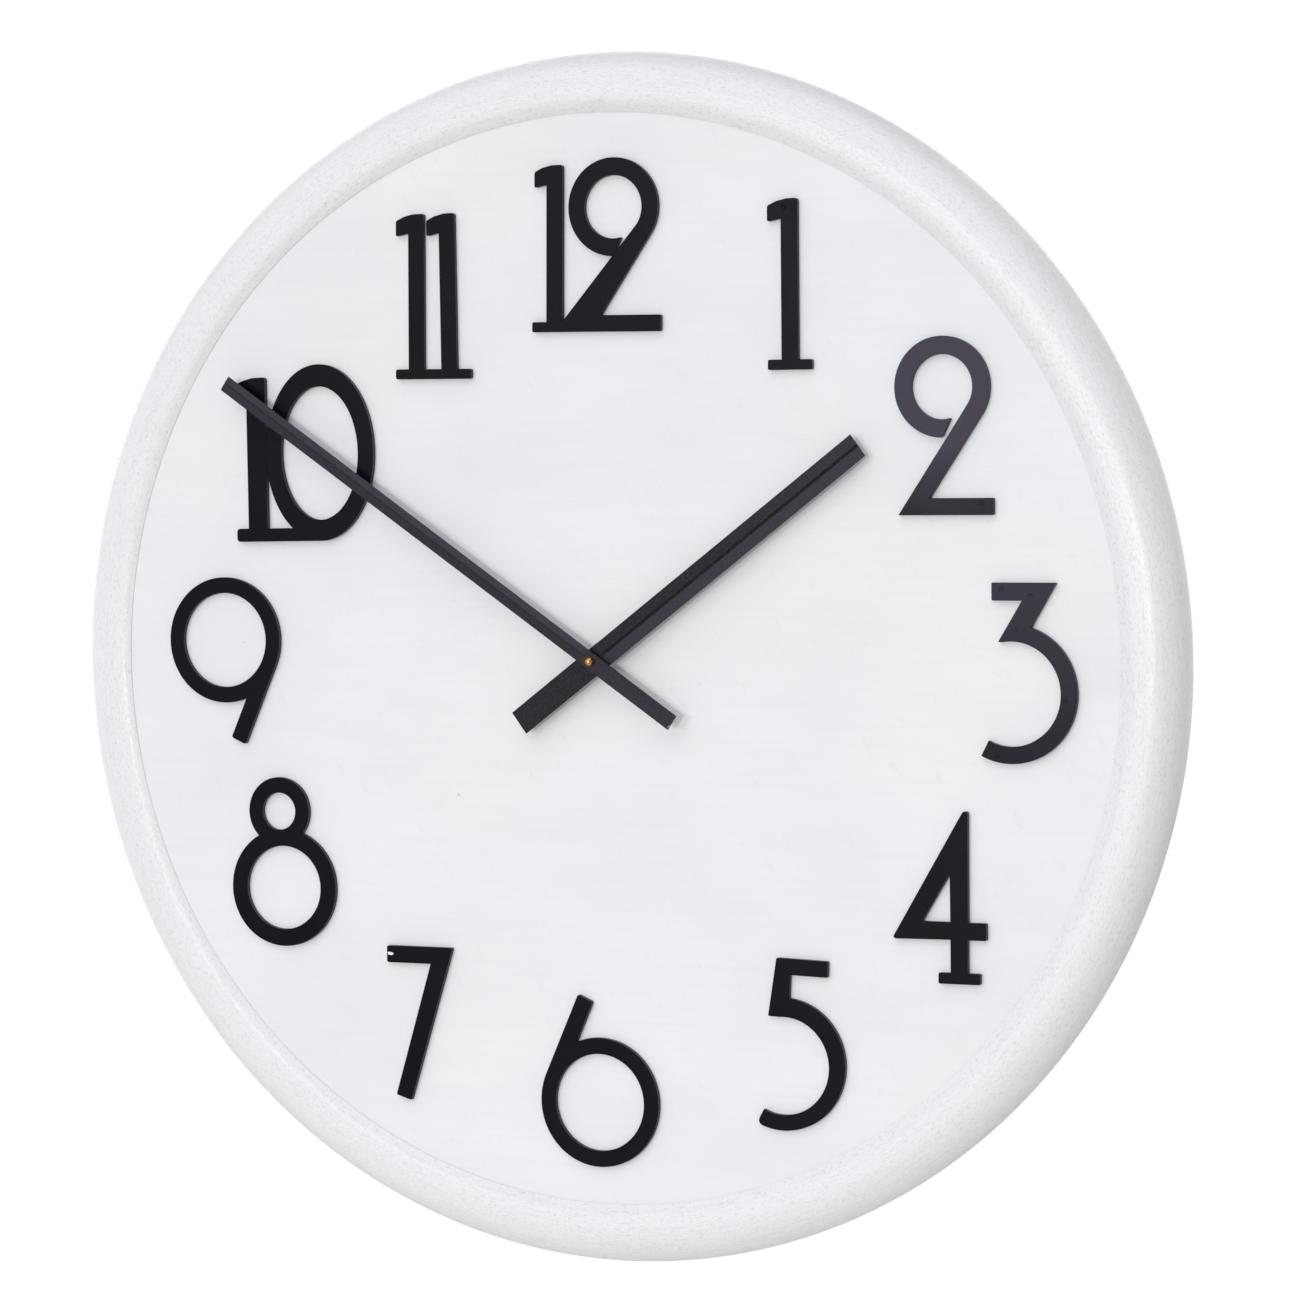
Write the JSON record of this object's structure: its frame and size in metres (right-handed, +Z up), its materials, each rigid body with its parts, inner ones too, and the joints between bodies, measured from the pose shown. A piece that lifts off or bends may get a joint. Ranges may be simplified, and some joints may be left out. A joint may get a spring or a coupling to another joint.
{
  "type": "wall clock",
  "caption": "Round whitewashed wall clock with a beaded wooden rim, loose black metal numerals, two black bar hands and a battery quartz movement.",
  "frame": {"origin": "on the clock's axis, in the plane of the wall it hangs on", "axes": "+Z up to twelve o'clock, -Y out of the wall toward the viewer, +X toward three o'clock"},
  "size_m": [0.702, 0.0535, 0.702],
  "materials": {
    "rim_whitewash": "brushed whitewash paint, matt",
    "dial_white": "brushed white paint, matt",
    "numeral_black": "black enamel, satin",
    "hand_black": "fine-grained black paint, satin",
    "brass": "polished",
    "zinc_steel": "bright zinc plate",
    "black_plastic": "fine matt",
    "grey_plastic": "fine matt",
    "gear_plastic": "natural acetal",
    "rubber": "matt",
    "felt": "felt",
    "copper_wire": "lacquered copper wire",
    "board_green": "solder mask",
    "cell_jacket": "plain printed jacket"
  },
  "bodies": {
    "case": {"rim": "rim_whitewash", "dial_clip_1": "zinc_steel", "dial_clip_2": "zinc_steel", "dial_clip_3": "zinc_steel", "dial_clip_4": "zinc_steel", "dial_clip_screw_1": "zinc_steel", "dial_clip_screw_2": "zinc_steel", "dial_clip_screw_3": "zinc_steel", "dial_clip_screw_4": "zinc_steel", "wall_pad_1": "felt", "wall_pad_2": "felt", "wall_pad_3": "felt", "numeral_1": "numeral_black", "numeral_2": "numeral_black", "numeral_3": "numeral_black", "numeral_4": "numeral_black", "numeral_5": "numeral_black", "numeral_6": "numeral_black", "numeral_7": "numeral_black", "numeral_8": "numeral_black", "numeral_9": "numeral_black", "numeral_10": "numeral_black", "numeral_11": "numeral_black", "numeral_12": "numeral_black", "dial_panel": "dial_white", "hanger_plate": "zinc_steel", "hanger_screw_1": "zinc_steel", "hanger_screw_2": "zinc_steel", "movement_case": "black_plastic", "movement_cover": "grey_plastic", "mount_bush": "brass", "bush_nut": "brass", "rubber_washer": "rubber", "contact_negative": "zinc_steel", "contact_positive": "zinc_steel", "train_plate": "grey_plastic", "stator": "zinc_steel", "coil": "copper_wire", "circuit_board": "board_green", "driver_chip": "black_plastic", "quartz_crystal": "zinc_steel"},
    "minute": {"minute_hand": "hand_black", "minute_collet": "brass", "cap_nut": "brass", "cannon_pinion": "zinc_steel"},
    "hour": {"hour_hand": "hand_black", "hour_collet": "brass", "hour_wheel": "gear_plastic"},
    "minute_wheel_arbor": {"minute_wheel": "gear_plastic"},
    "setting": {"setting_knob": "grey_plastic"},
    "battery": {"battery_cell": "cell_jacket"},
    "seconds_arbor": {"seconds_wheel": "gear_plastic"},
    "third_arbor": {"third_wheel": "gear_plastic"},
    "centre_arbor": {"centre_wheel": "brass"},
    "intermediate_arbor": {"intermediate_wheel": "gear_plastic"},
    "rotor_arbor": {"rotor": "zinc_steel"}
  },
  "joints": [
    {"name": "minute_hand_turn", "type": "hinge", "parent": "case", "child": "minute", "pos_m": [0, -0.0485, 0], "axis": [0, 1, 0], "continuous": true},
    {"name": "hour_hand_turn", "type": "hinge", "parent": "case", "child": "hour", "pos_m": [0, -0.0435, 0], "axis": [0, 1, 0], "continuous": true},
    {"name": "minute_wheel_turn", "type": "hinge", "parent": "case", "child": "minute_wheel_arbor", "pos_m": [0.00679, -0.0195, 0.00679], "axis": [0, 1, 0], "continuous": true},
    {"name": "setting_knob_turn", "type": "hinge", "parent": "case", "child": "setting", "pos_m": [0.01639, -0.005, 0.00679], "axis": [0, 1, 0], "continuous": true},
    {"name": "seconds_wheel_turn", "type": "hinge", "parent": "case", "child": "seconds_arbor", "pos_m": [0, -0.0115, 0], "axis": [0, 1, 0], "continuous": true},
    {"name": "third_wheel_turn", "type": "hinge", "parent": "case", "child": "third_arbor", "pos_m": [-0.00918, -0.013, 0], "axis": [0, 1, 0], "continuous": true},
    {"name": "centre_wheel_turn", "type": "hinge", "parent": "case", "child": "centre_arbor", "pos_m": [0, -0.0162, 0], "axis": [0, 1, 0], "continuous": true},
    {"name": "intermediate_wheel_turn", "type": "hinge", "parent": "case", "child": "intermediate_arbor", "pos_m": [0, -0.01, 0.00816], "axis": [0, 1, 0], "continuous": true},
    {"name": "rotor_turn", "type": "hinge", "parent": "case", "child": "rotor_arbor", "pos_m": [0, -0.0135, 0.01446], "axis": [0, 1, 0], "continuous": true},
    {"name": "battery_slide", "type": "slide", "parent": "case", "child": "battery", "axis": [0, 1, 0], "range_m": [0, 0.02]}
  ],
  "couplings": [
    {"joint": "hour_hand_turn", "follows": "minute_hand_turn", "ratio": 0.083333},
    {"joint": "minute_wheel_turn", "follows": "minute_hand_turn", "ratio": -0.33333},
    {"joint": "setting_knob_turn", "follows": "minute_hand_turn", "ratio": 1},
    {"joint": "third_wheel_turn", "follows": "seconds_wheel_turn", "ratio": -0.125},
    {"joint": "centre_wheel_turn", "follows": "seconds_wheel_turn", "ratio": 0.016667},
    {"joint": "intermediate_wheel_turn", "follows": "seconds_wheel_turn", "ratio": -5},
    {"joint": "rotor_turn", "follows": "seconds_wheel_turn", "ratio": 30}
  ]
}
